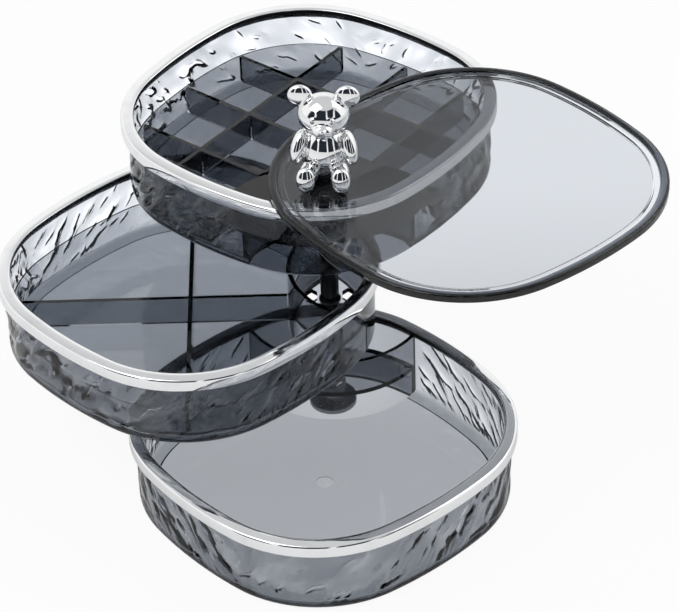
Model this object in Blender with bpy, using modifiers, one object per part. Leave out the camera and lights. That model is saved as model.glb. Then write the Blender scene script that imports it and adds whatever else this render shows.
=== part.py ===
"""Rotating jewelry box: three trays and a lid that swing about one corner post.

The trays are rounded squares of smoked clear plastic, each capped by a chrome
rim. A post stands in one corner and passes through all of them, so each level
turns a full circle about the same upright axis. A pocket round the post keeps
its columns apart from the contents: its arc wall and raised deck are moulded
with the tray, and the pocket is open underneath. The middle tray has a cross
of two dividers, the top tray a lattice of six, and a chrome bear on the lid
is the knob. The box stands fanned open, with the post at the world's origin.
"""

import math

import bmesh
import bpy
from mathutils import Matrix

# Gaps between pieces
FIT_GAP = 0.0003
TURN_GAP = 0.0004
CUT_OVERRUN = 0.0010

# Plan of a tray at its rim: four bulged sides joined by four round corners
HALF_WIDTH = 0.0670
SIDE_RADIUS = 0.1650
CORNER_RADIUS = 0.0500
PIVOT_TO_TIP = 0.0195
CORNER_STEPS = 10
SIDE_STEPS = 3

# Which way each level's far corner points
BOTTOM_ANGLE = math.radians(265.6)
MIDDLE_ANGLE = math.radians(179.7)
TOP_ANGLE = math.radians(96.3)
LID_ANGLE = math.radians(-5.4)

# Levels
TRAY_HEIGHT = 0.0320
LEVEL_GAP = 0.0036
LID_GAP = 0.0006

# Tray wall and floor
WALL = 0.0018
WALL_DRAFT = 0.0004
FLOOR = 0.0018
FLOOR_FILLET = 0.0010
FOOT_HEIGHT = 0.0008
FOOT_WIDTH = 0.0035
FOOT_SLOPE = 0.0008
BOTTOM_ROUND = 0.0022
ROUND_STEPS = 3

# Liner in the middle and top trays: a thin floor and a low wall, with a deck in the top one
LINER_WALL = 0.0006
LINER_FLOOR = 0.0008
LINER_HEIGHT = 0.0155
LINER_ARC = 0.0010

# Chrome rim, an upside-down channel on the top of the wall
RIM_SKIRT = 0.0018
RIM_SKIRT_HEIGHT = 0.0050
RIM_TOP = 0.0012
RIM_LIP = 0.0008
RIM_LIP_HEIGHT = 0.0023
RIM_EDGE = 0.0004

# Pocket round the post in the bottom and middle trays
POCKET_BACK = 0.0205
POCKET_RADIUS = 0.0365
ARC_WALL = 0.0016
POCKET_LAND = 0.0012
DECK_HEIGHT = 0.0150
DECK = 0.0020
ROOM_STEP = 0.0006
LOW_DECK = 0.0009
WINDOW_OFFSET = 0.0070
WINDOW_WIDTH = 0.0044
WINDOW_LENGTH = 0.0082

# Fan-shaped deck round the post in the top tray, and the pitch of the slats beyond it, as
# shares of the tray's half width
FAN_BACK_SHARE = 0.1791
FAN_RADIUS_SHARE = 0.7313
LATTICE_PITCH_SHARE = 0.4478
ARC_STEPS = 68

# Dividers
DIVIDER = 0.0012

# Lid: a plate with a raised bead round its edge
LID_OVERHANG = 0.0018
LID_PLATE = 0.0016
LID_RECESS = 0.0005
LID_EDGE = 0.0005
LID_BAND_STEP = 0.0003
LID_BAND_WIDTH = 0.0049
LID_BAND_SLOPE = 0.0005
LID_BEAD_WIDTH = 0.0032
LID_BEAD_HEIGHT = 0.0009
BEAD_STEPS = 4

# Post, columns and washers
POST_FOOT_RADIUS = 0.0090
POST_FOOT_HEIGHT = 0.0020
POST_FOOT_EDGE = 0.0004
POST_STEM_RADIUS = 0.0050
SHAFT_RADIUS = 0.0020
SHAFT_END = 0.0006
COLUMN_RADIUS = 0.0035
WASHER = 0.0008
WASHER_RADIUS = 0.0042
TURNED_STEPS = 24

# Collar under the lid, with the nut that keeps it on the shaft
COLLAR_RADIUS = 0.0060
COLLAR_ROOM_RADIUS = 0.0046
COLLAR_ROOM_DEPTH = 0.0070
NUT_WIDTH = 0.0070
NUT_HEIGHT = 0.0024

# Knob screw
SCREW_HEAD_RADIUS = 0.0035
SCREW_HEAD_HEIGHT = 0.0018
SCREW_RADIUS = 0.0015
SCREW_REACH = 0.0080
SCREW_TIP = 0.0005

# Knob figure, a seated bear. Each lobe's centre and radii are shares of this height, and its
# turns are in degrees: the x of a paired lobe is mirrored.
FIGURE_HEIGHT = 0.0405
BODY_STEPS = (18, 11)
LIMB_STEPS = (12, 7)
BODY_SHARES = ((0.0, 0.02, 0.240), (0.220, 0.190, 0.270))
HEAD_SHARES = ((0.0, 0.0, 0.660), (0.238, 0.205, 0.208))
MUZZLE_SHARES = ((0.0, -0.180, 0.610), (0.098, 0.092, 0.074))
PAIRED_SHARES = {
    "ear": ((0.216, 0.030, 0.840), (0.116, 0.056, 0.116), (0.0, 20.0)),
    "arm": ((0.232, -0.062, 0.350), (0.074, 0.084, 0.165), (-26.0, -14.0)),
    "leg": ((0.142, -0.140, 0.095), (0.095, 0.175, 0.102), (0.0, 0.0)),
    "foot": ((0.160, -0.268, 0.120), (0.092, 0.060, 0.124), (-12.0, 0.0)),
}

# Values that follow from the sizes above
PITCH = TRAY_HEIGHT + LEVEL_GAP
MIDDLE_Z = PITCH
TOP_Z = PITCH + PITCH
LID_Z = TOP_Z + TRAY_HEIGHT + LID_GAP
SIDE_CENTRE = SIDE_RADIUS - HALF_WIDTH
SIDE_CENTRE_LEG = SIDE_CENTRE / math.sqrt(2.0)
CORNER_CENTRE = math.sqrt((SIDE_RADIUS - CORNER_RADIUS) ** 2 - SIDE_CENTRE_LEG**2) - SIDE_CENTRE_LEG
CORNER_SWEEP = math.atan2(SIDE_CENTRE_LEG, CORNER_CENTRE + SIDE_CENTRE_LEG)
TRAY_CENTRE = CORNER_CENTRE + CORNER_RADIUS - PIVOT_TO_TIP
WALL_INSET = RIM_SKIRT + FIT_GAP
BASE_INSET = WALL_INSET + WALL_DRAFT
INNER_INSET = WALL_INSET + WALL
ROOM_INSET = INNER_INSET + ROOM_STEP
UNDER_INSET = BASE_INSET + BOTTOM_ROUND + POCKET_LAND
WALL_TOP = TRAY_HEIGHT - RIM_TOP - FIT_GAP
FLOOR_TOP = FOOT_HEIGHT + FLOOR
ARC_TOP = TRAY_HEIGHT - RIM_LIP_HEIGHT - FIT_GAP
DECK_UNDER = DECK_HEIGHT - DECK
LOW_DECK_TOP = DECK_UNDER + LOW_DECK
LINER_INSET = INNER_INSET + FIT_GAP
LINER_INNER = LINER_INSET + LINER_WALL
LINER_UNDER = FLOOR_TOP + FIT_GAP
LINER_TOP = LINER_UNDER + LINER_FLOOR
FAN_BACK = HALF_WIDTH * FAN_BACK_SHARE
FAN_RADIUS = HALF_WIDTH * FAN_RADIUS_SHARE
LATTICE_PITCH = HALF_WIDTH * LATTICE_PITCH_SHARE
BORE_RADIUS = SHAFT_RADIUS + TURN_GAP
PLATE_TOP = LID_RECESS + LID_PLATE


def collection(name):
    made = bpy.data.collections.new(name)
    bpy.context.scene.collection.children.link(made)
    return made


def mesh_object(name, bm, parent, group):
    """Turn a bmesh into an object under its level's empty, shaded smooth with crisp edges."""
    bmesh.ops.recalc_face_normals(bm, faces=bm.faces)
    mesh = bpy.data.meshes.new(name)
    bm.to_mesh(mesh)
    bm.free()
    if mesh.polygons:
        mesh.shade_smooth()
        mesh.set_sharp_from_angle(angle=math.radians(35.0))
    obj = bpy.data.objects.new(name, mesh)
    obj.parent = parent
    group.objects.link(obj)
    if group is CUTTERS:
        obj.hide_render = True
        obj.display_type = "WIRE"
    return obj


def paint(obj, kind):
    """Give a piece its own Principled material."""
    colour, roughness, metallic, alpha = LOOKS[kind]
    material = bpy.data.materials.new(obj.name + " " + kind)
    material.use_nodes = True
    shader = material.node_tree.nodes["Principled BSDF"]
    shader.inputs["Base Color"].default_value = (*colour, 1.0)
    shader.inputs["Roughness"].default_value = roughness
    shader.inputs["Metallic"].default_value = metallic
    shader.inputs["Alpha"].default_value = alpha
    material.diffuse_color = (*colour, alpha)
    obj.data.materials.append(material)
    return obj


def outline(inset):
    """Rounded-square plan moved in by inset; the pivot is (0, 0) and the far corner is on +X."""
    points = []
    for quarter in range(4):
        turn = quarter * math.pi / 2.0
        centre_x = TRAY_CENTRE + CORNER_CENTRE * math.cos(turn)
        centre_y = CORNER_CENTRE * math.sin(turn)
        for step in range(CORNER_STEPS):
            angle = turn + CORNER_SWEEP * (2.0 * step / CORNER_STEPS - 1.0)
            reach = CORNER_RADIUS - inset
            points.append((centre_x + reach * math.cos(angle), centre_y + reach * math.sin(angle)))
        middle = turn + math.pi / 4.0
        centre_x = TRAY_CENTRE - SIDE_CENTRE * math.cos(middle)
        centre_y = -SIDE_CENTRE * math.sin(middle)
        for step in range(SIDE_STEPS):
            sweep = math.pi / 4.0 - CORNER_SWEEP
            angle = middle + sweep * (2.0 * step / SIDE_STEPS - 1.0)
            reach = SIDE_RADIUS - inset
            points.append((centre_x + reach * math.cos(angle), centre_y + reach * math.sin(angle)))
    return points


def loft(name, section, parent, group, ring=False):
    """Solid whose plan is the tray outline at each (inset, height) of a section.

    The first and last outlines are capped, or joined to each other for a ring.
    """
    bm = bmesh.new()
    loops = [[bm.verts.new((x, y, z)) for x, y in outline(inset)] for inset, z in section]
    pairs = list(zip(loops, loops[1:]))
    if ring:
        pairs.append((loops[-1], loops[0]))
    else:
        bm.faces.new(loops[0])
        bm.faces.new(loops[-1])
    for low, high in pairs:
        for i in range(len(low)):
            j = (i + 1) % len(low)
            bm.faces.new((low[i], low[j], high[j], high[i]))
    return mesh_object(name, bm, parent, group)


def cylinder(name, radius, bottom, top, centre_x, parent, group, steps=ARC_STEPS):
    bm = bmesh.new()
    place = Matrix.Translation((centre_x, 0.0, (bottom + top) / 2.0))
    bmesh.ops.create_cone(
        bm,
        cap_ends=True,
        segments=steps,
        radius1=radius,
        radius2=radius,
        depth=top - bottom,
        matrix=place,
    )
    return mesh_object(name, bm, parent, group)


def block(name, size, centre, turn, parent, group):
    """Box of the given size, turned about the upright axis through the pivot, then moved along."""
    bm = bmesh.new()
    place = Matrix.Rotation(turn, 4, "Z") @ Matrix.Translation(centre) @ Matrix.Diagonal((*size, 1.0))
    bmesh.ops.create_cube(bm, size=1.0, matrix=place)
    return mesh_object(name, bm, parent, group)


def boolean(obj, cutter, operation="DIFFERENCE"):
    modifier = obj.modifiers.new(operation.title() + " " + cutter.name, "BOOLEAN")
    modifier.solver = "EXACT"
    modifier.operation = operation
    modifier.object = cutter
    return obj


def turned(name, profile, parent, closed=False):
    """Revolve a profile of (radius, height) about the pivot axis, outer side from top to bottom."""
    bm = bmesh.new()
    verts = [bm.verts.new((radius, 0.0, z)) for radius, z in profile]
    for a, b in zip(verts, verts[1:]):
        bm.edges.new((a, b))
    if closed:
        bm.edges.new((verts[-1], verts[0]))
    obj = mesh_object(name, bm, parent, PARTS)
    screw = obj.modifiers.new("Revolve", "SCREW")
    screw.axis = "Z"
    screw.angle = math.tau
    screw.steps = TURNED_STEPS
    screw.render_steps = TURNED_STEPS
    screw.use_merge_vertices = True
    screw.merge_threshold = 0.00001
    screw.use_smooth_shade = False
    return obj


def tube(name, outer, inner, bottom, top, parent):
    return turned(name, [(outer, top), (outer, bottom), (inner, bottom), (inner, top)], parent, True)


def tray(name, parent, arc_top, with_room):
    """Open tray: a solid block of the tray's form with its hollows cut out.

    The main hollow stops at an arc wall about the post. Inside the arc the deck stays, with the
    room above it when the arc wall is tall, and the space below it down to the table.
    """
    flat = BASE_INSET + BOTTOM_ROUND
    section = [(flat + FOOT_WIDTH + FOOT_SLOPE, FOOT_HEIGHT), (flat + FOOT_WIDTH, 0.0)]
    for step in range(ROUND_STEPS + 1):
        angle = math.pi / 2.0 * step / ROUND_STEPS
        section.append((flat - BOTTOM_ROUND * math.sin(angle), BOTTOM_ROUND * (1.0 - math.cos(angle))))
    section.append((WALL_INSET, WALL_TOP))
    body = loft(name, section, parent, PARTS)

    main = loft(name + " hollow", bowl(INNER_INSET, FLOOR_TOP, WALL_TOP), parent, CUTTERS)
    boolean(main, disc(name + " core", POCKET_BACK, POCKET_RADIUS, arc_top, parent))
    boolean(body, main)

    inner = disc(name + " inner core", POCKET_BACK, POCKET_RADIUS - ARC_WALL, TRAY_HEIGHT, parent)
    under = [(UNDER_INSET, -CUT_OVERRUN), (UNDER_INSET, DECK_UNDER)]
    boolean(body, boolean(loft(name + " under deck", under, parent, CUTTERS), inner, "INTERSECT"))
    if with_room:
        room = [(ROOM_INSET, DECK_HEIGHT), (ROOM_INSET, arc_top + CUT_OVERRUN)]
        boolean(body, boolean(loft(name + " room", room, parent, CUTTERS), inner, "INTERSECT"))
        for side in (-1, 1):
            boolean(body, window(name + " window", side * WINDOW_OFFSET, parent))
    low, high = DECK_UNDER - CUT_OVERRUN, DECK_HEIGHT + CUT_OVERRUN
    boolean(body, cylinder(name + " bore", BORE_RADIUS, low, high, 0.0, parent, CUTTERS, TURNED_STEPS))
    return paint(body, "smoked plastic")


def bowl(inset, floor, top):
    """Section of a hollow with a chamfered floor edge, open at its top."""
    return [(inset + FLOOR_FILLET, floor), (inset, floor + FLOOR_FILLET), (inset, top + CUT_OVERRUN)]


def disc(name, back, radius, top, parent):
    """Round cutter behind the pivot, from below the tray up to the given height."""
    return cylinder(name, radius, -CUT_OVERRUN, top, -back, parent, CUTTERS)


def liner(name, parent, fan):
    """Loose liner: a thin floor and wall, cut away round the pocket, or with a fan-shaped deck.

    The deck lies on the tray's own low deck, and its arc wall comes down to the liner's floor.
    """
    section = bowl(LINER_INSET, LINER_UNDER, LINER_HEIGHT - CUT_OVERRUN)
    body = loft(name, section, parent, PARTS)
    main = loft(name + " hollow", bowl(LINER_INNER, LINER_TOP, LINER_HEIGHT), parent, CUTTERS)
    if fan:
        boolean(main, disc(name + " core", FAN_BACK, FAN_RADIUS, DECK_HEIGHT, parent))
        under = LOW_DECK_TOP + FIT_GAP
        boolean(body, main)
        boolean(body, disc(name + " under", FAN_BACK, FAN_RADIUS - LINER_ARC, under, parent))
        high = DECK_HEIGHT + CUT_OVERRUN
        bore = cylinder(name + " bore", BORE_RADIUS, DECK_UNDER, high, 0.0, parent, CUTTERS, TURNED_STEPS)
        boolean(body, bore)
    else:
        boolean(body, main)
        top = LINER_HEIGHT + CUT_OVERRUN
        boolean(body, disc(name + " pocket", POCKET_BACK, POCKET_RADIUS + FIT_GAP, top, parent))
    return paint(body, "smoked plastic")


def window(name, x, parent):
    """Six-sided cutter for a window in the deck beside the column."""
    bm = bmesh.new()
    half = (WINDOW_WIDTH / 2.0 / math.cos(math.radians(30.0)), WINDOW_LENGTH / 2.0)
    low, high = DECK_UNDER - CUT_OVERRUN, DECK_HEIGHT + CUT_OVERRUN
    place = (
        Matrix.Translation((x, 0.0, (low + high) / 2.0))
        @ Matrix.Diagonal((half[0], half[1], high - low, 1.0))
        @ Matrix.Rotation(math.pi / 2.0, 4, "Z")
    )
    bmesh.ops.create_cone(bm, cap_ends=True, segments=6, radius1=1.0, radius2=1.0, depth=1.0, matrix=place)
    return mesh_object(name, bm, parent, CUTTERS)


def rim(name, parent):
    """Chrome channel over the wall's top edge: outer skirt, flat top and short inner lip."""
    width = INNER_INSET + FIT_GAP + RIM_LIP
    lip_face = INNER_INSET + FIT_GAP
    section = [
        (0.0, TRAY_HEIGHT - RIM_SKIRT_HEIGHT),
        (0.0, TRAY_HEIGHT - RIM_EDGE),
        (RIM_EDGE, TRAY_HEIGHT),
        (width - RIM_EDGE, TRAY_HEIGHT),
        (width, TRAY_HEIGHT - RIM_EDGE),
        (width, TRAY_HEIGHT - RIM_LIP_HEIGHT),
        (lip_face, TRAY_HEIGHT - RIM_LIP_HEIGHT),
        (lip_face, TRAY_HEIGHT - RIM_TOP),
        (RIM_SKIRT, TRAY_HEIGHT - RIM_TOP),
        (RIM_SKIRT, TRAY_HEIGHT - RIM_SKIRT_HEIGHT),
    ]
    return paint(loft(name, section, parent, PARTS, ring=True), "chrome")


def divider(name, parent, line, turn, start, slots, from_top, envelope, arc):
    """Upright slat on one line of a tray.

    It stands off the pivot by line, square to the way turn points, runs from start out to the
    wall, and has a half-height slot for each slat that it crosses. The room's own envelope trims
    its ends and foot, and the arc wall trims its start.
    """
    end = TRAY_CENTRE + HALF_WIDTH + HALF_WIDTH
    size = (end - start, DIVIDER, LINER_HEIGHT)
    slat = block(name, size, ((start + end) / 2.0, line, LINER_HEIGHT / 2.0), turn, parent, PARTS)
    boolean(slat, envelope, "INTERSECT")
    boolean(slat, arc)
    middle = (LINER_TOP + LINER_HEIGHT) / 2.0
    if from_top:
        low, high = middle - FIT_GAP / 2.0, LINER_HEIGHT + CUT_OVERRUN
    else:
        low, high = -CUT_OVERRUN, middle + FIT_GAP / 2.0
    slot_size = (DIVIDER + FIT_GAP + FIT_GAP, DIVIDER + CUT_OVERRUN + CUT_OVERRUN, high - low)
    for place in slots:
        centre = (place, line, (low + high) / 2.0)
        boolean(slat, block(name + " slot", slot_size, centre, turn, parent, CUTTERS))
    return paint(slat, "smoked plastic")


def divider_envelope(name, parent):
    """The liner's hollow up to above its wall, drawn in by the gap that the dividers keep."""
    return loft(name, bowl(LINER_INNER + FIT_GAP, LINER_TOP + FIT_GAP, LINER_HEIGHT), parent, CUTTERS)


def fan_start(line):
    """Where a slat line, parallel to a side, leaves the top tray's fan deck; wall side if it misses."""
    radius = FAN_RADIUS + FIT_GAP
    leg = FAN_BACK / math.sqrt(2.0)
    room = radius**2 - (line + leg) ** 2
    return math.sqrt(room) - leg if room > 0.0 else -HALF_WIDTH


def lattice(parent):
    """Six slats parallel to the top tray's sides, three each way, half-lapped where they cross."""
    envelope = divider_envelope("lattice envelope", parent)
    arc = disc("lattice arc", FAN_BACK, FAN_RADIUS + FIT_GAP, LINER_HEIGHT + CUT_OVERRUN, parent)
    centre = TRAY_CENTRE / math.sqrt(2.0)
    lines = [centre - LATTICE_PITCH, centre, centre + LATTICE_PITCH]
    half = DIVIDER / 2.0
    edge = half + FIT_GAP
    for way, side in (("left", 1.0), ("right", -1.0)):
        for number, line in enumerate(lines, start=1):
            start = fan_start(line + half)
            met = [other for other in lines if start < other + edge and fan_start(other + half) < line + edge]
            turn = -side * math.pi / 4.0
            begin = start - DIVIDER - DIVIDER
            name = "top_slat_%s_%d" % (way, number)
            divider(name, parent, side * line, turn, begin, met, side > 0.0, envelope, arc)


def cross(parent):
    """Two slats along the middle tray's diagonals, half-lapped at the tray's centre."""
    envelope = divider_envelope("cross envelope", parent)
    radius = POCKET_RADIUS + FIT_GAP
    arc = disc("cross arc", POCKET_BACK, radius, LINER_HEIGHT + CUT_OVERRUN, parent)
    begin = radius - POCKET_BACK - DIVIDER
    divider("middle_divider_long", parent, 0.0, 0.0, begin, [TRAY_CENTRE], True, envelope, arc)
    back = -HALF_WIDTH - HALF_WIDTH
    quarter = math.pi / 2.0
    divider("middle_divider_cross", parent, -TRAY_CENTRE, quarter, back, [0.0], False, envelope, arc)


def lid(parent):
    """Clear plate with a round bead at its edge, a band inside the bead and a step below."""
    edge = -LID_OVERHANG
    band_top = PLATE_TOP + LID_BAND_STEP
    section = [
        (LID_BAND_WIDTH + LID_BAND_SLOPE, LID_RECESS),
        (LID_BAND_WIDTH, 0.0),
        (edge + LID_EDGE, 0.0),
        (edge, LID_EDGE),
    ]
    half = LID_BEAD_WIDTH / 2.0
    for step in range(BEAD_STEPS + 1):
        angle = math.pi * step / BEAD_STEPS
        rise = band_top + LID_BEAD_HEIGHT * math.sin(angle)
        section.append((edge + half - half * math.cos(angle), rise))
    section.append((LID_BAND_WIDTH, band_top))
    section.append((LID_BAND_WIDTH + LID_BAND_SLOPE, PLATE_TOP))
    panel = loft("lid_panel", section, parent, PARTS)
    radius = SCREW_RADIUS + TURN_GAP
    high = PLATE_TOP + CUT_OVERRUN
    boolean(panel, cylinder("lid bore", radius, -CUT_OVERRUN, high, 0.0, parent, CUTTERS, TURNED_STEPS))
    return paint(panel, "clear plastic")


def pivot(base, lid_level):
    """Post, columns, washers, collar, nut and knob screw, from the table upwards."""
    shoulder = DECK_UNDER - FIT_GAP
    room_floor = LID_Z + LID_RECESS - FIT_GAP - COLLAR_ROOM_DEPTH
    nut_top = room_floor + FIT_GAP + NUT_HEIGHT
    shaft_top = nut_top + SHAFT_END
    post = [
        (0.0, shaft_top),
        (SHAFT_RADIUS, shaft_top),
        (SHAFT_RADIUS, shoulder),
        (POST_STEM_RADIUS, shoulder),
        (POST_STEM_RADIUS, POST_FOOT_HEIGHT),
        (POST_FOOT_RADIUS - POST_FOOT_EDGE, POST_FOOT_HEIGHT),
        (POST_FOOT_RADIUS, POST_FOOT_HEIGHT - POST_FOOT_EDGE),
        (POST_FOOT_RADIUS, 0.0),
        (0.0, 0.0),
    ]
    paint(turned("pivot_post", post, base), "steel")
    for where, deck, above in (("lower", 0.0, MIDDLE_Z), ("upper", MIDDLE_Z, TOP_Z)):
        seat = above + DECK_UNDER - FIT_GAP
        low = deck + DECK_HEIGHT + FIT_GAP
        high = seat - WASHER - FIT_GAP
        paint(tube(where + "_column", COLUMN_RADIUS, BORE_RADIUS, low, high, base), "dark plastic")
        paint(tube(where + "_washer", WASHER_RADIUS, BORE_RADIUS, seat - WASHER, seat, base), "nylon")
    low = TOP_Z + DECK_HEIGHT + FIT_GAP
    paint(tube("lid_washer", WASHER_RADIUS, BORE_RADIUS, low, low + WASHER, base), "nylon")
    nut = cylinder(
        "shaft_nut",
        NUT_WIDTH / 2.0 / math.cos(math.radians(30.0)),
        room_floor + FIT_GAP,
        nut_top,
        0.0,
        base,
        PARTS,
        6,
    )
    low, high = room_floor - CUT_OVERRUN, nut_top + CUT_OVERRUN
    radius = SHAFT_RADIUS + FIT_GAP
    boolean(nut, cylinder("nut bore", radius, low, high, 0.0, base, CUTTERS, TURNED_STEPS))
    paint(nut, "steel")

    bottom = TOP_Z + DECK_HEIGHT + FIT_GAP + WASHER + FIT_GAP - LID_Z
    top = LID_RECESS - FIT_GAP
    collar = [
        (COLLAR_RADIUS, top),
        (COLLAR_RADIUS, bottom),
        (BORE_RADIUS, bottom),
        (BORE_RADIUS, top - COLLAR_ROOM_DEPTH),
        (COLLAR_ROOM_RADIUS, top - COLLAR_ROOM_DEPTH),
        (COLLAR_ROOM_RADIUS, top),
    ]
    paint(turned("lid_collar", collar, lid_level, True), "dark plastic")
    tip = PLATE_TOP + FIT_GAP + SCREW_REACH
    screw = [
        (0.0, tip),
        (SCREW_RADIUS - SCREW_TIP, tip),
        (SCREW_RADIUS, tip - SCREW_TIP),
        (SCREW_RADIUS, top),
        (SCREW_HEAD_RADIUS, top),
        (SCREW_HEAD_RADIUS, top - SCREW_HEAD_HEIGHT),
        (0.0, top - SCREW_HEAD_HEIGHT),
    ]
    paint(turned("knob_screw", screw, lid_level), "steel")


def lobe(name, shares, steps, parent, group, side=1.0, turns=(0.0, 0.0)):
    """One rounded swelling of the figure, an ellipsoid tipped forward and leaned to its side."""
    (x, y, z), (rx, ry, rz) = shares
    place = (
        Matrix.Translation((side * x * FIGURE_HEIGHT, y * FIGURE_HEIGHT, z * FIGURE_HEIGHT))
        @ Matrix.Rotation(math.radians(turns[0]), 4, "X")
        @ Matrix.Rotation(math.radians(side * turns[1]), 4, "Y")
        @ Matrix.Diagonal((rx * FIGURE_HEIGHT, ry * FIGURE_HEIGHT, rz * FIGURE_HEIGHT, 1.0))
    )
    bm = bmesh.new()
    bmesh.ops.create_uvsphere(bm, u_segments=steps[0], v_segments=steps[1], radius=1.0, matrix=place)
    return mesh_object(name, bm, parent, group)


def figure(parent):
    """Seated bear: plump body, round head with a muzzle, and paired ears, arms, legs and feet."""
    seat = bpy.data.objects.new("figure_seat", None)
    seat.parent = parent
    seat.location = (0.0, 0.0, PLATE_TOP + FIT_GAP)
    PARTS.objects.link(seat)
    bear = lobe("knob_figure", BODY_SHARES, BODY_STEPS, seat, PARTS)
    boolean(bear, lobe("figure head", HEAD_SHARES, BODY_STEPS, seat, CUTTERS), "UNION")
    boolean(bear, lobe("figure muzzle", MUZZLE_SHARES, LIMB_STEPS, seat, CUTTERS), "UNION")
    for name, (centre, radii, turns) in PAIRED_SHARES.items():
        for side in (-1.0, 1.0):
            part = lobe("figure " + name, (centre, radii), LIMB_STEPS, seat, CUTTERS, side, turns)
            boolean(bear, part, "UNION")
    size = (FIGURE_HEIGHT, FIGURE_HEIGHT, FIGURE_HEIGHT)
    below = block("figure ground", size, (0.0, 0.0, -FIGURE_HEIGHT / 2.0), 0.0, seat, CUTTERS)
    boolean(bear, below)
    radius = SCREW_RADIUS + FIT_GAP
    depth = SCREW_REACH + FIT_GAP
    boolean(bear, cylinder("figure bore", radius, -CUT_OVERRUN, depth, 0.0, seat, CUTTERS, TURNED_STEPS))
    return paint(bear, "chrome")


def level(name, height, angle):
    """Empty on the pivot axis that carries one level and sets how far it is swung out."""
    empty = bpy.data.objects.new(name, None)
    empty.location = (0.0, 0.0, height)
    empty.rotation_euler = (0.0, 0.0, angle)
    PARTS.objects.link(empty)
    return empty


for old in list(bpy.data.objects):
    bpy.data.objects.remove(old, do_unlink=True)

LOOKS = {
    "smoked plastic": ((0.30, 0.34, 0.40), 0.06, 0.0, 0.55),
    "clear plastic": ((0.62, 0.65, 0.69), 0.05, 0.0, 0.35),
    "dark plastic": ((0.06, 0.07, 0.08), 0.25, 0.0, 1.0),
    "chrome": ((0.86, 0.87, 0.88), 0.05, 1.0, 1.0),
    "steel": ((0.55, 0.56, 0.57), 0.28, 1.0, 1.0),
    "nylon": ((0.78, 0.79, 0.78), 0.45, 0.0, 1.0),
}
PARTS = collection("rotating_jewelry_box")
CUTTERS = collection("cutters")

post_level = level("post_level", 0.0, 0.0)
bottom_level = level("bottom_level", 0.0, BOTTOM_ANGLE)
middle_level = level("middle_level", MIDDLE_Z, MIDDLE_ANGLE)
top_level = level("top_level", TOP_Z, TOP_ANGLE)
lid_level = level("lid_level", LID_Z, LID_ANGLE)

tray("bottom_tray", bottom_level, ARC_TOP, True)
tray("middle_tray", middle_level, ARC_TOP, True)
tray("top_tray", top_level, LOW_DECK_TOP, False)
liner("middle_liner", middle_level, False)
liner("top_liner", top_level, True)
rim("bottom_rim", bottom_level)
rim("middle_rim", middle_level)
rim("top_rim", top_level)
cross(middle_level)
lattice(top_level)
lid(lid_level)
figure(lid_level)
pivot(post_level, lid_level)
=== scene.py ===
import math

import bpy
import numpy as np
from mathutils import Matrix, Vector


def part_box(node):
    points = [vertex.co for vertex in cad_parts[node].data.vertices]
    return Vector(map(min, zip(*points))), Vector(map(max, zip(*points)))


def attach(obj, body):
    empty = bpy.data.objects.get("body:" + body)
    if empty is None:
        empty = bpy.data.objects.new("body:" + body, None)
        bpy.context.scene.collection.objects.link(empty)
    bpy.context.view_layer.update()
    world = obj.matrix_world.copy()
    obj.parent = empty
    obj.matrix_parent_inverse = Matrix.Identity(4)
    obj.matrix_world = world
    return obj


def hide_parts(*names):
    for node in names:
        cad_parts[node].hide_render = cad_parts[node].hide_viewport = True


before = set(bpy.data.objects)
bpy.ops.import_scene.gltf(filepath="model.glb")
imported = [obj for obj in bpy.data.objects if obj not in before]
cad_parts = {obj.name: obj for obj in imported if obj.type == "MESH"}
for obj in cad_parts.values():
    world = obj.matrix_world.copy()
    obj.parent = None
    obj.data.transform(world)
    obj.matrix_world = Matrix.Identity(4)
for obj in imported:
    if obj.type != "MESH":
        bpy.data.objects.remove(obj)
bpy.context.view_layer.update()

# Camera: a long lens that looks down at the box from the front, as in the photograph. Its reach,
# elevation and roll were fitted to points along the rims and the lid's edge.
PHOTO_WIDTH = 679
LENS_PIXELS = 3600.0
SENSOR = 36.0
CAMERA_REACH = 1.3733
CAMERA_ELEVATION = math.radians(36.883)
CAMERA_ROLL = math.radians(-1.801)
CAMERA_TARGET = Vector((0.00354, 0.0, 0.04502))
CAMERA_CLIP = (0.05, 20.0)
LIGHT_BOUNCES = 32

eye = bpy.data.cameras.new("camera")
eye.sensor_fit = "HORIZONTAL"
eye.sensor_width = SENSOR
eye.lens = LENS_PIXELS * SENSOR / PHOTO_WIDTH
eye.clip_start, eye.clip_end = CAMERA_CLIP
camera = bpy.data.objects.new("camera", eye)
back = Vector((0.0, -math.cos(CAMERA_ELEVATION), math.sin(CAMERA_ELEVATION)))
camera.matrix_world = (
    Matrix.Translation(CAMERA_TARGET + back * CAMERA_REACH)
    @ Matrix.Rotation(math.pi / 2.0 - CAMERA_ELEVATION, 4, "X")
    @ Matrix.Rotation(CAMERA_ROLL, 4, "Z")
)
bpy.context.scene.collection.objects.link(camera)
bpy.context.scene.camera = camera
bpy.context.scene.view_settings.view_transform = "Standard"
for bounces in ("max_bounces", "transmission_bounces"):
    setattr(bpy.context.scene.cycles, bounces, LIGHT_BOUNCES)


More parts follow.
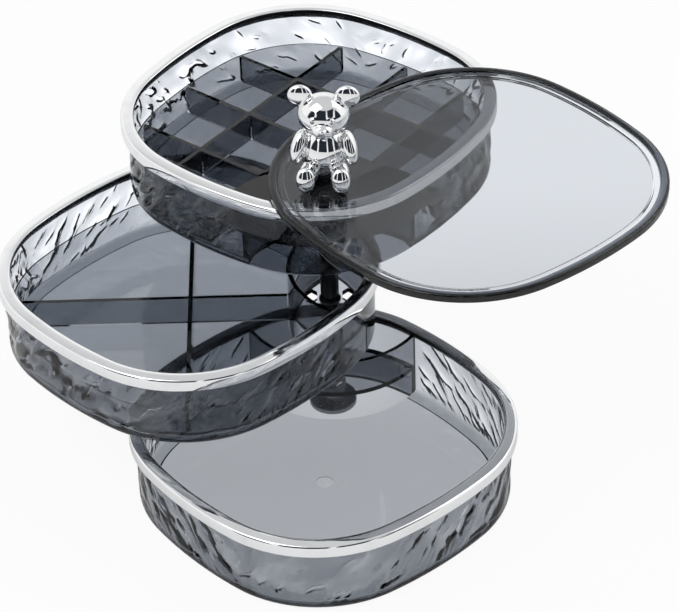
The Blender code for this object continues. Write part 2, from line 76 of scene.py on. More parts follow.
# Studio: a white sweep under the box and a white tent round it, with a dark opening on the camera's
# side, which is what draws the dark lines in the chrome and in the rippled plastic.
class Link:
    """One output socket, so that a pattern reads as arithmetic: each operator adds its Math node."""

    def __init__(self, socket):
        self.socket = socket
        self.tree = socket.id_data

    def node(self, kind, settings, values, output=0):
        """Add a node: its settings come first, and then each socket's value or link."""
        made = self.tree.nodes.new(kind)
        for name, value in settings.items():
            if name == "stops":
                for place, level in value:
                    stop = made.color_ramp.elements.new(place)
                    stop.color = (level, level, level, 1.0)
                made.color_ramp.elements.remove(made.color_ramp.elements[0])
                made.color_ramp.elements.remove(made.color_ramp.elements[-1])
            else:
                setattr(made, name, value)
        for name, value in values.items():
            if isinstance(value, Link):
                self.tree.links.new(value.socket, made.inputs[name])
            else:
                made.inputs[name].default_value = value
        return Link(made.outputs[output])

    def math(self, operation, a, b):
        """Add one Math node on two values or links."""
        return self.node("ShaderNodeMath", {"operation": operation}, {0: a, 1: b})

    def __add__(self, other):
        return self.math("ADD", self, other)

    def __mul__(self, other):
        return self.math("MULTIPLY", self, other)

    def __sub__(self, other):
        return self.math("SUBTRACT", self, other)

    def __rsub__(self, other):
        return self.math("SUBTRACT", other, self)

    __radd__ = __add__
    __rmul__ = __mul__

    def mix(self, low, high):
        """Blend two colours or links, this socket being the factor."""
        made = self.tree.nodes.new("ShaderNodeMix")
        made.data_type = "RGBA"
        for slot, value in (("A", low), ("B", high)):
            socket = [s for s in made.inputs if s.name == slot and s.type == "RGBA"][0]
            if isinstance(value, Link):
                self.tree.links.new(value.socket, socket)
            else:
                socket.default_value = (*value, 1.0)
        self.tree.links.new(self.socket, made.inputs["Factor"])
        return Link([s for s in made.outputs if s.type == "RGBA"][0])


WHITE = (1.0, 1.0, 1.0)
ZENITH = (0.64, 0.65, 0.66)
ZENITH_BAND = (0.72, 2.0, 0.24)
OPENING = (0.020, 0.024, 0.034)
OPENING_BAND = (0.03, 0.76, 0.05)
OPENING_FRONT = (-2.0, -0.38, 0.10)
STRIPS = (-0.56, 0.14, 0.62)
STRIP_HALF = 0.02
STRIP_SOFT = 0.05

world = bpy.data.worlds.new("studio")
world.use_nodes = True
bpy.context.scene.world = world
tree = world.node_tree
tree.nodes.clear()


def band(link, low, high, soft):
    """1 between low and high, easing to 0 over soft on each side."""
    rise = {"Value": link, "From Min": low - soft, "From Max": low}
    fall = {"Value": link, "From Min": high + soft, "From Max": high}
    smooth = {"interpolation_type": "SMOOTHSTEP"}
    return link.node("ShaderNodeMapRange", smooth, rise) * link.node("ShaderNodeMapRange", smooth, fall)


direction = Link(tree.nodes.new("ShaderNodeTexCoord").outputs["Generated"])
x, y, z = (direction.node("ShaderNodeSeparateXYZ", {}, {0: direction}, axis) for axis in range(3))
sky = band(z, *ZENITH_BAND).mix(WHITE, ZENITH)
opening = band(z, *OPENING_BAND) * band(y, *OPENING_FRONT)
for place in STRIPS:
    opening = opening * (1.0 - band(x, place - STRIP_HALF, place + STRIP_HALF, STRIP_SOFT))
light = opening.mix(sky, OPENING)
camera_ray = Link(tree.nodes.new("ShaderNodeLightPath").outputs["Is Camera Ray"])
shown = camera_ray.mix(light, WHITE)
background = tree.nodes.new("ShaderNodeBackground")
tree.links.new(shown.socket, background.inputs["Color"])
out = tree.nodes.new("ShaderNodeOutputWorld")
tree.links.new(background.outputs[0], out.inputs["Surface"])

# The sweep looks nearly white to the camera and glows a little in mirror rays. Seen through the
# plastic it glows with painted light that grows brighter from front to back, within a round patch
# under the box.
FLOOR_REACH = 4.0
FLOOR_DROP = 0.0002
FLOOR_GLOW = (0.93, 0.35)
FLOOR_PAINTED_GLOW = (0.75, 1.75)
FLOOR_RISE = (-0.05, 0.17)
FLOOR_EDGE = (0.40, 0.16)
PAPER = (0.90, 0.90, 0.90)

floor_mesh = bpy.data.meshes.new("studio_floor")
corners = ((-1.0, -1.0), (1.0, -1.0), (1.0, 1.0), (-1.0, 1.0))
corners = [(across * FLOOR_REACH, along * FLOOR_REACH, -FLOOR_DROP) for across, along in corners]
floor_mesh.from_pydata(corners, [], [(0, 1, 2, 3)])
floor = bpy.data.objects.new("studio_floor", floor_mesh)
bpy.context.scene.collection.objects.link(floor)
paper = bpy.data.materials.new("white sweep")
paper.use_nodes = True
tree = paper.node_tree
tree.nodes.clear()
path = tree.nodes.new("ShaderNodeLightPath").outputs
rays = (Link(path["Is %s Ray" % kind]) for kind in ("Camera", "Glossy", "Transmission"))
camera_ray, mirror_ray, clear_ray = rays
place = Link(tree.nodes.new("ShaderNodeTexCoord").outputs["Object"])
depth = place.node("ShaderNodeSeparateXYZ", {}, {0: place}, 1)
away = place.node("ShaderNodeVectorMath", {"operation": "LENGTH"}, {0: place}, 1)
front, behind = FLOOR_PAINTED_GLOW
ramp = {"Value": depth, "From Min": FLOOR_RISE[0], "From Max": FLOOR_RISE[1]}
ramp.update({"To Min": front / behind, "To Max": 1.0})
# Painted light: in rays through the plastic the floor glows, dimmer in front and brighter behind.
painted_glow_share = depth.node("ShaderNodeMapRange", {"interpolation_type": "SMOOTHSTEP"}, ramp)
painted_glow_share = painted_glow_share * band(away, -1.0, *FLOOR_EDGE)
matt = place.node("ShaderNodeBsdfDiffuse", {}, {"Color": (*PAPER, 1.0)})
glow = place.node("ShaderNodeEmission", {}, {"Color": (*WHITE, 1.0), "Strength": 1.0})
painted_backlight = place.node("ShaderNodeEmission", {}, {"Color": (*WHITE, 1.0), "Strength": behind})
white_share = camera_ray * FLOOR_GLOW[0] + mirror_ray * FLOOR_GLOW[1]
blend = place.node("ShaderNodeMixShader", {}, {0: white_share, 1: matt, 2: glow})
blend = place.node("ShaderNodeMixShader", {}, {0: clear_ray * painted_glow_share, 1: blend, 2: painted_backlight})
out = tree.nodes.new("ShaderNodeOutputMaterial")
tree.links.new(blend.socket, out.inputs["Surface"])
floor_mesh.materials.append(paper)

LAMP_AIM = Vector((0.0, 0.0, 0.06))
for name, energy, size, place in (
    ("key_softbox", 5.0, 0.9, (-0.7, -0.35, 1.25)),
    ("fill_softbox", 2.5, 0.8, (0.9, 0.25, 1.0)),
):
    lamp = bpy.data.lights.new(name, "AREA")
    lamp.shape = "RECTANGLE"
    lamp.size = lamp.size_y = size
    lamp.energy = energy
    holder = bpy.data.objects.new(name, lamp)
    aim = LAMP_AIM - Vector(place)
    holder.matrix_world = Matrix.Translation(place) @ aim.to_track_quat("-Z", "Y").to_matrix().to_4x4()
    bpy.context.scene.collection.objects.link(holder)


# Trays: injection-moulded shells of smoked clear plastic. Each is lofted from the rounded-square
# plan with the water ripple pressed into its outer wall, and its hollows are then cut out.
# Insets are measured inwards from the plan, and heights upwards from the foot.
PIVOT_TO_TIP = 0.0195
HALF_WIDTH = 0.0670
SIDE_RADIUS = 0.1650
CORNER_RADIUS = 0.0500
PLAN_STEPS = (150, 100)
TRAY_HEIGHT = 0.0320
FIT_GAP = 0.0003
WALL_INSET = 0.0021
BASE_INSET = 0.0025
INNER_INSET = 0.0039
ROOM_INSET = 0.0045
UNDER_INSET = 0.0059
BOTTOM_ROUND = 0.0022
FOOT = (0.0008, 0.0035, 0.0008)
WALL_TOP = 0.0305
ARC_TOP = 0.0294
DECK = (0.0130, 0.0150)
LOW_DECK_TOP = 0.0139
FLOOR_TOP = 0.0026
FLOOR_FILLET = 0.0010
POCKET = (0.0205, 0.0365)
ARC_WALL = 0.0016
BORE = 0.0024
WINDOW = (0.0070, 0.0044, 0.0082)
GATE_MARK = (0.0034, 0.0002)
OVER = 0.001

side_centre = SIDE_RADIUS - HALF_WIDTH
leg = side_centre / math.sqrt(2.0)
corner_centre = math.sqrt((SIDE_RADIUS - CORNER_RADIUS) ** 2 - leg**2) - leg
corner_sweep = math.atan2(leg, corner_centre + leg)
TRAY_CENTRE = corner_centre + CORNER_RADIUS - PIVOT_TO_TIP


def plan_arcs():
    """Centre, radius and direction of each plan point: four corner arcs and four side arcs in turn."""
    centres, radii, angles = [], [], []
    corner, side = (np.arange(steps) * 2.0 / steps - 1.0 for steps in PLAN_STEPS)
    for quarter in range(4):
        turn = quarter * math.pi / 2.0
        middle = turn + math.pi / 4.0
        angles += [turn + corner_sweep * corner, middle + (math.pi / 4.0 - corner_sweep) * side]
        radii += [np.full(len(corner), CORNER_RADIUS), np.full(len(side), SIDE_RADIUS)]
        centres += [np.full(len(corner), corner_centre * np.exp(1j * turn))]
        centres += [np.full(len(side), -side_centre * np.exp(1j * middle))]
    angles, radii, centres = (np.concatenate(parts) for parts in (angles, radii, centres))
    return centres + TRAY_CENTRE, radii, np.exp(1j * angles)


PLAN = plan_arcs()
PLAN_LINE = PLAN[0] + PLAN[1] * PLAN[2]
PLAN_LENGTH = np.cumsum(np.abs(np.roll(PLAN_LINE, -1) - PLAN_LINE))
PERIMETER = PLAN_LENGTH[-1]


def loft_points(insets, heights):
    """Plan at each height: a point is its arc's centre plus the arc's radius, less the inset."""
    insets, heights = np.atleast_1d(insets), np.asarray(heights, float)
    insets = insets[:, None] if insets.ndim == 1 else insets
    centres, radii, directions = PLAN
    flat = centres + (radii - insets) * directions
    return np.stack([flat.real, flat.imag, np.broadcast_to(heights[:, None], flat.shape)], -1)


CREASE = 35.0
WIDE_FACE = 24


def grid_object(name, points, ring=False):
    """Skin a grid whose rows close on themselves; the ends are capped, or joined for a ring."""
    rows, count = points.shape[:2]
    i = np.arange(rows if ring else rows - 1)[:, None]
    j = np.arange(count)[None, :]
    after, above = (j + 1) % count, (i + 1) % rows
    quads = np.stack([i * count + j, i * count + after, above * count + after, above * count + j], -1)
    faces = quads.reshape(-1, 4).tolist()
    if not ring:
        first = np.arange(count)
        faces += [first[::-1].tolist(), (first + (rows - 1) * count).tolist()]
    mesh = bpy.data.meshes.new(name)
    mesh.from_pydata(points.reshape(-1, 3), [], faces)
    mesh.shade_smooth()
    mesh.set_sharp_from_angle(angle=math.radians(CREASE))
    made = bpy.data.objects.new(name, mesh)
    bpy.context.scene.collection.objects.link(made)
    return made


def round_points(profile, steps, centre=(0.0, 0.0)):
    """Profile of (radius, height) carried round a circle about an upright axis."""
    profile = np.asarray(profile, float)
    angle = np.arange(steps) * math.tau / steps
    x = centre[0] + profile[:, :1] * np.cos(angle)
    y = centre[1] + profile[:, :1] * np.sin(angle)
    return np.stack([x, y, np.broadcast_to(profile[:, 1:], x.shape)], -1)


def solid_work(body, steps, crease=CREASE):
    """Carry out (operation, solid) steps on a body in order, and leave one plain mesh.

    Each wide flat face keeps a crisp border, so that its shading stays flat right across.
    """
    for operation, tool in steps:
        change = body.modifiers.new(operation, "BOOLEAN")
        change.operation = operation
        change.solver = "MANIFOLD"
        change.object = tool
    bpy.context.view_layer.update()
    made = bpy.data.meshes.new_from_object(body.evaluated_get(bpy.context.evaluated_depsgraph_get()))
    body.modifiers.clear()
    body.data = made
    for _, tool in steps:
        bpy.data.objects.remove(tool)
    made.shade_smooth()
    made.set_sharp_from_angle(angle=math.radians(crease))
    wide = {key for face in made.polygons if face.loop_total > WIDE_FACE for key in face.edge_keys}
    for edge in made.edges:
        if edge.key in wide:
            edge.use_edge_sharp = True
    return body


# Swells and strokes: seed, count, range of half lengths, range of half widths, depth.
SWELLS = (41, 460, (0.0024, 0.0050), (0.0013, 0.0021), 0.00042)
CURL = 0.30
STROKES = (43, 190, (0.0017, 0.0030), (0.00058, 0.00080), 0.00095)
STROKE_LEAN = (0.95, 0.22)
STROKE_KINDS = ([-0.5, 1.0], [0.3, 0.7])
FAINTEST = 0.5
STROKE_REACH = 4.0
GOLDEN_SHARE = 0.618034
RIPPLE_LIMITS = (-0.0003, 0.0009)
RIPPLE_FADES = (0.003, 0.0045)
SMOOTH_STRETCH = 0.038
SMOOTH_FADE = 0.004


def dimples(height, seed, count, long_range, short_range, depth):
    """Sum of leaning stretched Gaussians: each is exp of minus half of (u/long)^2 + (v/short)^2.

    Each is bent into an S: v moves by a share of long times the sine of u/long. They come in order
    round the wall, each a golden share of the height above the one before.
    """
    pick = np.random.default_rng(seed)
    along, up = PLAN_LENGTH, height[:, None]
    total = np.zeros((len(height), len(along)))
    order = np.arange(count) + pick.uniform(0.0, 1.0, count)
    level = height[0] + (order * GOLDEN_SHARE % 1.0) * (height[-1] - height[0])
    where = np.stack([order * PERIMETER / count, level], 1)
    half = np.where(np.sin(where[:, 0] / PERIMETER * math.tau) > 0.0, 1.0, -1.0)
    lean = pick.normal(*STROKE_LEAN, count) * half
    long, short = pick.uniform(*long_range, count), pick.uniform(*short_range, count)
    kinds, shares = STROKE_KINDS
    strength = depth * pick.choice(kinds, count, p=shares) * pick.uniform(FAINTEST, 1.0, count)
    for (s, z), angle, a, b, peak in zip(where, lean, long, short, strength):
        across = (along - s + PERIMETER / 2.0) % PERIMETER - PERIMETER / 2.0
        near = np.flatnonzero(np.abs(across) < STROKE_REACH * a)
        part = across[None, near]
        u = part * math.cos(angle) + (up - z) * math.sin(angle)
        v = (up - z) * math.cos(angle) - part * math.sin(angle)
        v = v + CURL * math.copysign(a, angle) * np.sin(u / a)
        total[:, near] += peak * np.exp(-((u / a) ** 2 + (v / b) ** 2) / 2.0)
    return total


def ripple(height):
    """Depth pressed into the wall: soft swells and narrow strokes, none beside the post."""
    along, up = PLAN_LENGTH[None, :], height[:, None]
    depth = dimples(height, *SWELLS) + dimples(height, *STROKES)
    pivot = PLAN_LENGTH[np.argmin(PLAN_LINE.real)]
    off = np.abs((along - pivot + PERIMETER / 2.0) % PERIMETER - PERIMETER / 2.0)
    fade = np.clip((off - SMOOTH_STRETCH) / SMOOTH_FADE, 0.0, 1.0)
    low_fade, top_fade = RIPPLE_FADES
    ends = np.clip((up - height[0]) / low_fade, 0.0, 1.0) * np.clip((height[-1] - up) / top_fade, 0.0, 1.0)
    return depth * fade * ends


ROUND_ROWS = 7
FILLET_ROWS = 6
WALL_ROWS = 66
PLUG_STEPS = 160
BORE_STEPS = 48


def bowl(name, inset, floor, top, lead=0.0):
    """Solid inside an inset of the plan, with a quarter-round floor edge and a lead-in at its top."""
    turn = np.linspace(0.0, math.pi / 2.0, FILLET_ROWS)
    insets = np.append(inset + FLOOR_FILLET * (1.0 - np.sin(turn)), [inset, inset + lead])
    heights = np.append(floor + FLOOR_FILLET * (1.0 - np.cos(turn)), [top - abs(lead), top])
    return grid_object(name, loft_points(insets, heights))


def plug(name, radius, low, high, steps=PLUG_STEPS, x=0.0):
    """Upright round cutter."""
    return grid_object(name, round_points([(radius, low), (radius, high)], steps, (x, 0.0)))


def plan_block(name, inset, low, high):
    """Solid inside one inset of the plan, between two heights."""
    return grid_object(name, loft_points(np.array([inset, inset]), np.array([low, high])))


WALL_SKIN = (0.0034, 0.0004)


def mark_wall(shell):
    """Store each vertex's way round from the far corner, its height, and 1 on the outer wall, else 0."""
    outline = PLAN_LINE - TRAY_CENTRE
    outline = outline[outline.imag >= 0.0]
    outline = outline[np.argsort(np.angle(outline))]
    points = np.array([corner.co for corner in shell.data.vertices])
    spot = points[:, 0] - TRAY_CENTRE + 1j * points[:, 1]
    turn = np.abs(np.angle(spot))
    along = np.interp(turn, np.angle(outline), np.cumsum(np.abs(np.diff(outline, prepend=outline[0]))))
    inset = np.interp(turn, np.angle(outline), np.abs(outline)) - np.abs(spot)
    outer = np.clip((WALL_SKIN[0] - inset) / WALL_SKIN[1], 0.0, 1.0)
    outer = outer * np.clip((PERIMETER / 2.0 - along - SMOOTH_STRETCH) / SMOOTH_FADE, 0.0, 1.0)
    place = shell.data.attributes.new("wall_place", "FLOAT_VECTOR", "POINT")
    place.data.foreach_set("vector", np.stack([along, points[:, 2], outer], 1).ravel())
    return shell


def tray_shell(name, arc_top, room):
    """Loft the rippled outer form, then cut the hollow, the pocket, the windows and the bore."""
    flat = BASE_INSET + BOTTOM_ROUND
    turn = np.linspace(0.0, math.pi / 2.0, ROUND_ROWS)
    foot = [flat + FOOT[1] + FOOT[2], flat + FOOT[1]]
    low_insets = np.concatenate([foot, flat - BOTTOM_ROUND * np.sin(turn)])
    low_heights = np.concatenate([[FOOT[0], 0.0], BOTTOM_ROUND * (1.0 - np.cos(turn))])
    height = np.linspace(BOTTOM_ROUND, WALL_TOP, WALL_ROWS)[1:]
    wall = np.interp(height, [BOTTOM_ROUND, WALL_TOP], [BASE_INSET, WALL_INSET])
    insets = np.broadcast_to(low_insets[:, None], (len(low_insets), len(PLAN_LENGTH)))
    insets = np.concatenate([insets, wall[:, None] + np.clip(ripple(height), *RIPPLE_LIMITS)])
    body = grid_object(name, loft_points(insets, np.concatenate([low_heights, height])))
    back_off, radius = POCKET
    main = bowl("hollow", INNER_INSET, FLOOR_TOP, WALL_TOP + OVER)
    main = solid_work(main, [("DIFFERENCE", plug("core", radius, -OVER, arc_top, x=-back_off))])
    inner = plug("inner", radius - ARC_WALL, -OVER, TRAY_HEIGHT, x=-back_off)
    under = solid_work(plan_block("under", UNDER_INSET, -OVER, DECK[0]), [("INTERSECT", inner)])
    steps = [("DIFFERENCE", main), ("DIFFERENCE", under)]
    if room:
        inner = plug("inner", radius - ARC_WALL, -OVER, TRAY_HEIGHT, x=-back_off)
        above = plan_block("room", ROOM_INSET, DECK[1], arc_top + OVER)
        steps.append(("DIFFERENCE", solid_work(above, [("INTERSECT", inner)])))
        offset, width, length = WINDOW
        for side in (-1.0, 1.0):
            # Swapping x and y points the hexagon along Y, and the reversed order keeps it facing outwards.
            hexagon = round_points([(1.0, DECK[0] - OVER), (1.0, DECK[1] + OVER)], 6)
            hexagon = hexagon[..., [1, 0, 2]][:, ::-1] * (width / math.sqrt(3.0), length / 2.0, 1.0)
            steps.append(("DIFFERENCE", grid_object("window", hexagon + (side * offset, 0.0, 0.0))))
    steps.append(("DIFFERENCE", plug("bore", BORE, DECK[0] - OVER, DECK[1] + OVER, BORE_STEPS)))
    mark, depth = GATE_MARK
    steps.append(("DIFFERENCE", plug("gate", mark, -OVER, FOOT[0] + depth, BORE_STEPS, TRAY_CENTRE)))
    return mark_wall(solid_work(body, steps))


SHELL_TINT = (0.985, 0.99, 1.0)
FLOW = 60.0
FLOW_TINT = 1.03
SPECKLE = 900.0
SPECKLE_SHARE = 0.1
CLEAR_ROUGHNESS = (0.015, 0.05)
CLEAR_INDEX = 1.49
SCUFFS = [(0.0, 0.0), (0.58, 0.0), (0.75, 1.0), (1.0, 1.0)]
STREAKS = (420.0, 95.0, 0.00028)


def clear_plastic(name, absorb, tint, wall=False, gloss=0.5):
    """Polished clear plastic: light is lost inside by depth, and the skin has faint flow and scuffs.

    A wall also has fine leaning streaks in its outer skin, between the moulded strokes.
    """
    material = bpy.data.materials.new(name)
    material.use_nodes = True
    tree = material.node_tree
    tree.nodes.clear()
    place = Link(tree.nodes.new("ShaderNodeTexCoord").outputs["Object"])
    flow = place.node("ShaderNodeTexNoise", {}, {"Vector": place, "Scale": FLOW, "Detail": 2.0})
    grain = place.node("ShaderNodeTexNoise", {}, {"Vector": place, "Scale": SPECKLE, "Detail": 4.0})
    wear = grain.node("ShaderNodeValToRGB", {"stops": SCUFFS}, {"Fac": grain})
    colour = flow.mix(tint, tuple(min(1.0, c * FLOW_TINT) for c in tint))
    relief = {"Height": flow + SPECKLE_SHARE * grain, "Strength": 0.035, "Distance": 0.0005}
    bump = grain.node("ShaderNodeBump", {}, relief)
    if wall:
        mark = place.node("ShaderNodeAttribute", {"attribute_name": "wall_place"}, {}, "Vector")
        along, up, outer = (mark.node("ShaderNodeSeparateXYZ", {}, {0: mark}, axis) for axis in range(3))
        lean = STROKE_LEAN[0]
        fine, coarse, rise = STREAKS
        across = (along * math.sin(lean) - up * math.cos(lean)) * fine
        run = (along * math.cos(lean) + up * math.sin(lean)) * coarse
        grid = mark.node("ShaderNodeCombineXYZ", {}, {0: across, 1: run})
        noise = {"Vector": grid, "Scale": 1.0, "Detail": 2.0, "Distortion": 0.4}
        streak = grid.node("ShaderNodeTexNoise", {}, noise)
        relief = {"Height": streak * outer, "Strength": 1.0, "Distance": rise, "Normal": bump}
        bump = bump.node("ShaderNodeBump", {}, relief)
    polished, scuffed = CLEAR_ROUGHNESS
    body = grain.node(
        "ShaderNodeBsdfPrincipled",
        {},
        {
            "Base Color": colour,
            "Roughness": polished + scuffed * wear,
            "IOR": CLEAR_INDEX,
            "Specular IOR Level": gloss,
            "Transmission Weight": 1.0,
            "Normal": bump,
        },
    )
    density = max(absorb)
    shade = tuple(1.0 - a / density for a in absorb)
    inside = grain.node("ShaderNodeVolumeAbsorption", {}, {"Color": (*shade, 1.0), "Density": density})
    out = tree.nodes.new("ShaderNodeOutputMaterial")
    tree.links.new(body.socket, out.inputs["Surface"])
    tree.links.new(inside.socket, out.inputs["Volume"])
    return material


def dress(piece, material, slot, body, *nodes):
    """Give a new piece its finish and its body, in place of the nodes that it stands for."""
    piece.data.materials.clear()
    piece.data.materials.append(material)
    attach(piece, body)
    if nodes:
        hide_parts(*nodes)


def seat(piece, angle, height):
    """Turn a finished piece about the post and lift it, in its mesh."""
    piece.data.transform(Matrix.Translation((0.0, 0.0, height)) @ Matrix.Rotation(angle, 4, "Z"))
    return piece


PITCH = 0.0356
BOTTOM = (math.radians(265.6), 0.0)
MIDDLE = (math.radians(179.7), PITCH)
TOP = (math.radians(96.3), 2.0 * PITCH)
LID = (math.radians(-5.4), 2.0 * PITCH + TRAY_HEIGHT + 2.0 * FIT_GAP)
LEVELS = (("bottom", BOTTOM, "base"), ("middle", MIDDLE, "middle_level"), ("top", TOP, "top_level"))

smoked = clear_plastic("smoked shell", (410.0, 389.0, 357.0), SHELL_TINT, wall=True)
for level, place, body in LEVELS:
    room = level != "top"
    shell = tray_shell(level + "_tray_shell", ARC_TOP if room else LOW_DECK_TOP, room)
    dress(seat(shell, *place), smoked, "smoked_plastic", body, level + "_tray")


# Liners: loose thin-walled pieces of darker smoked plastic that lie in the middle and top trays, and
# hold the dividers. The top one also has a fan-shaped deck round the post, on an arc wall. The top
# liner is smoked darker than the middle one, and its deck far darker, as painted shade.
LINER_INSET = 0.0042
LINER_INNER = 0.0048
LINER_FLOOR = (0.0029, 0.0037)
LINER_HEIGHT = 0.0155
LINER_LEAD = 0.00012
LEAD_CUT_TOP = 0.0170
LINER_TINT = (0.97, 0.98, 1.0)
FAN = (0.0120, 0.0490)
FAN_ARC = 0.0010
FAN_UNDER = 0.0142
FAN_SPLIT = 0.00002
FAN_STEPS = 240


def liner(name, fan):
    """A bowl less its hollow, with softened top edges, cut round the pocket or under the deck."""
    low, high = LINER_FLOOR
    body = bowl(name, LINER_INSET, low, LINER_HEIGHT, LINER_LEAD)
    hollow = bowl("hollow", LINER_INNER, high, LINER_HEIGHT + OVER)
    lip = LINER_INNER - LINER_LEAD
    lead_heights = np.array([LINER_HEIGHT - LINER_LEAD, LINER_HEIGHT, LEAD_CUT_TOP])
    lead = grid_object("lead", loft_points(np.array([LINER_INNER, lip, lip]), lead_heights))
    if fan:
        hollow = solid_work(hollow, [("DIFFERENCE", plug("core", FAN[1], -OVER, DECK[1], x=-FAN[0]))])
        under = plug("under", FAN[1] - FAN_ARC, -OVER, FAN_UNDER, x=-FAN[0])
        cuts = [under, plug("bore", BORE, DECK[0], DECK[1] + OVER, BORE_STEPS)]
    else:
        cuts = [plug("pocket", POCKET[1] + FIT_GAP, -OVER, LINER_HEIGHT + OVER, x=-POCKET[0])]
    return solid_work(body, [("DIFFERENCE", tool) for tool in (hollow, lead, *cuts)])


def split_liner(name, fan_part):
    """The top liner inside or outside the arc wall's outer face, so that its deck can take a darker
    painted shade.
    """
    operation, line = ("INTERSECT", FAN[1]) if fan_part else ("DIFFERENCE", FAN[1] + FAN_SPLIT)
    disc = plug("disc", line, -OVER, TRAY_HEIGHT, FAN_STEPS, -FAN[0])
    return solid_work(liner(name, True), [(operation, disc)])


smoked_liner = clear_plastic("smoked liner", (740.0, 700.0, 645.0), LINER_TINT)
# Painted shade: the top liner, and its deck far more, take more smoke than the middle liner.
top_liner_painted_shade = clear_plastic("top liner painted shade", (1180.0, 1130.0, 1060.0), LINER_TINT)
deck_painted_shade = clear_plastic("deck painted shade", (4500.0, 4400.0, 4250.0), LINER_TINT)
middle_liner = seat(liner("middle_tray_liner", False), *MIDDLE)
dress(middle_liner, smoked_liner, "smoked_plastic", "middle_level", "middle_liner")
top_liner = seat(split_liner("top_tray_liner", False), *TOP)
dress(top_liner, top_liner_painted_shade, "smoked_plastic", "top_level", "top_liner")
dress(seat(split_liner("top_fan_deck", True), *TOP), deck_painted_shade, "smoked_plastic", "top_level")


# Dividers: flat strips of the same smoked plastic, a half-lapped cross in the middle tray and a
# lattice of slats in the top one. They stand in the liners.
DIVIDER_SHARE = 1.42
DIVIDER_EDGE = 0.0001
FLAT_ANGLE = math.radians(1.0)
EASED_ANGLE = math.radians(60.0)


def add_modifiers(piece, changes):
    """Add modifiers in order, each given as its kind and its settings."""
    for kind, settings in changes:
        change = piece.modifiers.new(kind, kind)
        for setting, value in settings.items():
            setattr(change, setting, value)


def eased_divider(node, level):
    """The divider's solid made thicker about its own mid-plane, with its crisp edges rounded."""
    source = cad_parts[node]
    mesh = source.data.copy()
    points = np.array([source.matrix_world @ corner.co for corner in mesh.vertices])
    turns = level + np.arange(4) * math.pi / 4.0
    spread = points[:, :2] @ np.stack([np.cos(turns), np.sin(turns)])
    across = np.argmin(np.ptp(spread, axis=0))
    middle = (spread[:, across].max() + spread[:, across].min()) / 2.0
    normal = np.array([math.cos(turns[across]), math.sin(turns[across])])
    points[:, :2] += np.outer((spread[:, across] - middle) * (DIVIDER_SHARE - 1.0), normal)
    mesh.vertices.foreach_set("co", points.ravel())
    made = bpy.data.objects.new(node + "_moulded", mesh)
    bpy.context.scene.collection.objects.link(made)
    flat = {"decimate_type": "DISSOLVE", "angle_limit": FLAT_ANGLE}
    ease = {"width": DIVIDER_EDGE, "segments": 2, "limit_method": "ANGLE", "angle_limit": EASED_ANGLE}
    add_modifiers(made, [("DECIMATE", flat), ("BEVEL", ease)])
    return solid_work(made, [])


smoked_divider = clear_plastic("smoked divider", (560.0, 530.0, 490.0), LINER_TINT)
smoked_slat = clear_plastic("smoked slat", (760.0, 725.0, 675.0), LINER_TINT)
for node in sorted(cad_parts):
    if node.startswith("middle_divider"):
        dress(eased_divider(node, MIDDLE[0]), smoked_divider, "smoked_plastic", "middle_level", node)
    if node.startswith("top_slat"):
        dress(eased_divider(node, TOP[0]), smoked_slat, "smoked_plastic", "top_level", node)


# Rims: chrome-plated channels pressed over the top of each wall. One rounded section is carried
# round the plan of the tray, and the lip on its inner side is painted near black and not metal, as
# painted shade.
RIM_SECTION = [
    (0.0, 0.0270, 0.0002), (0.0, 0.0317, 0.0011), (0.0019, 0.0319, 0.0007), (0.0038, 0.0320, 0.0007),
    (0.0050, 0.0318, 0.0005), (0.0050, 0.0297, 0.0003),
    (0.0042, 0.0297, 0.0), (0.0042, 0.0308, 0.0), (0.0018, 0.0308, 0.0), (0.0018, 0.0270, 0.0),
]
ROUND_CUTS = 5
INNER_LIP = (0.0041, 0.0316)
CHROME_TONE = (0.90, 0.905, 0.91)
LIP_PAINTED_SHADE = (0.012, 0.013, 0.015)
CHROME_ROUGHNESS = (0.03, 0.06, 0.15)
TOUCH = 140.0
TOUCH_MARKS = [(0.0, 0.0), (0.5, 0.0), (0.72, 1.0), (1.0, 1.0)]
WORN_SHARE = 0.94


def rounded(section):
    """Each corner with a radius becomes a quarter curve: a quadratic from one side to the next."""
    points = np.array([(x, z) for x, z, _ in section])
    out = []
    for k, (x, z, radius) in enumerate(section):
        here = points[k]
        if radius == 0.0:
            out.append(here)
            continue
        before = points[k - 1] - here
        after = points[(k + 1) % len(points)] - here
        start = here + before / np.linalg.norm(before) * radius
        end = here + after / np.linalg.norm(after) * radius
        for t in np.linspace(0.0, 1.0, ROUND_CUTS):
            out.append(start * (1.0 - t) ** 2 + 2.0 * here * t * (1.0 - t) + end * t**2)
    return np.array(out)


